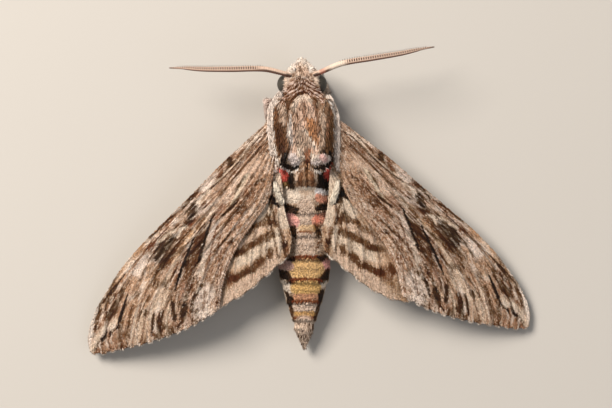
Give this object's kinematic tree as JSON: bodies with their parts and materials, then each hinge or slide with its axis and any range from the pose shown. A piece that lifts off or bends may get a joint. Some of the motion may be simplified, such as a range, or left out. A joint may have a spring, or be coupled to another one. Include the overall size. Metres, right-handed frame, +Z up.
{
  "type": "convolvulus hawk moth, still life-size model",
  "caption": "Life-size hawk moth standing with its long mottled wings half spread, banded body, feelers reaching out from the head.",
  "frame": {"origin": "on the floor under the middle of the animal's outline as seen from above", "axes": "+X to the animal's right across the spread wings, +Y the way the head points, +Z up"},
  "size_m": [0.0778, 0.0534, 0.0133],
  "materials": {
    "head_fur": "pale grey-brown hair-scales",
    "eye": "dark, glossy and finely faceted",
    "mouthparts": "smooth brown horn-like skin",
    "antenna": "pale scales above and brown toothed segments below",
    "thorax_fur": "long grey-brown hair-scales with dark flanks and pale edges",
    "abdomen_scales": "scales in ochre, pink, cream and black bands",
    "wing_scales": "fine grey-brown scales streaked and mottled with dark brown",
    "hindwing_scales": "pale buff scales with dark brown bands",
    "leg_scales": "close pale scales"
  },
  "bodies": {
    "root": {"head": "head_fur", "eye_left": "eye", "eye_right": "eye", "palp_left": "head_fur", "palp_right": "head_fur", "proboscis": "mouthparts", "antenna_left": "antenna", "antenna_right": "antenna", "thorax": "thorax_fur", "tegula_left": "thorax_fur", "tegula_right": "thorax_fur", "abdomen": "abdomen_scales", "forewing_left": "wing_scales", "forewing_right": "wing_scales", "hindwing_left": "hindwing_scales", "hindwing_right": "hindwing_scales", "foreleg_left": "leg_scales", "foreleg_right": "leg_scales", "midleg_left": "leg_scales", "midleg_right": "leg_scales", "hindleg_left": "leg_scales", "hindleg_right": "leg_scales"}
  },
  "joints": []
}
